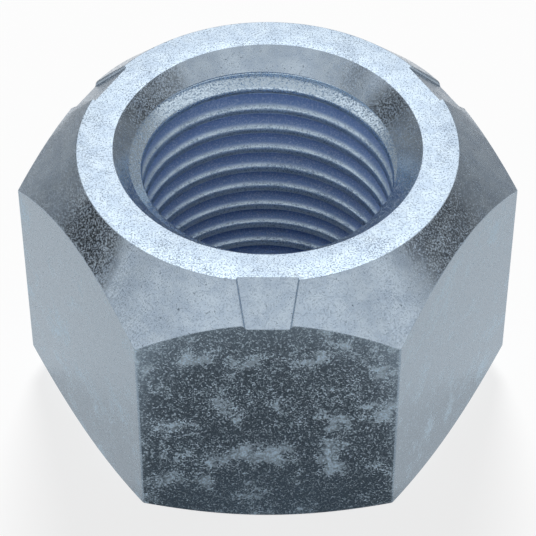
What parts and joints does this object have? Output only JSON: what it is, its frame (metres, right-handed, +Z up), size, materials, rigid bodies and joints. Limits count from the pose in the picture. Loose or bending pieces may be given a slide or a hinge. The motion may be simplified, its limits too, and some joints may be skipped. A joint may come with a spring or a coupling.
{
  "type": "top lock nut",
  "caption": "All-metal hexagon lock nut whose conical top is crimped above every second flat, so that its last threads grip the screw and it doesn't shake loose.",
  "frame": {"origin": "centre of the bearing face, on the axis of the bore", "axes": "+Z up the bore, from the bearing face to the crimped locking end; a corner of the hexagon on +X, and a crimped flat towards -Y"},
  "size_m": [0.0256, 0.0222, 0.0161],
  "materials": {
    "zinc_plated_steel": "clear zinc plating with a blue cast over machined and cold formed steel, bright on the turned faces and mottled on the flats"
  },
  "bodies": {
    "root": {"lock_nut": "zinc_plated_steel"}
  },
  "joints": []
}
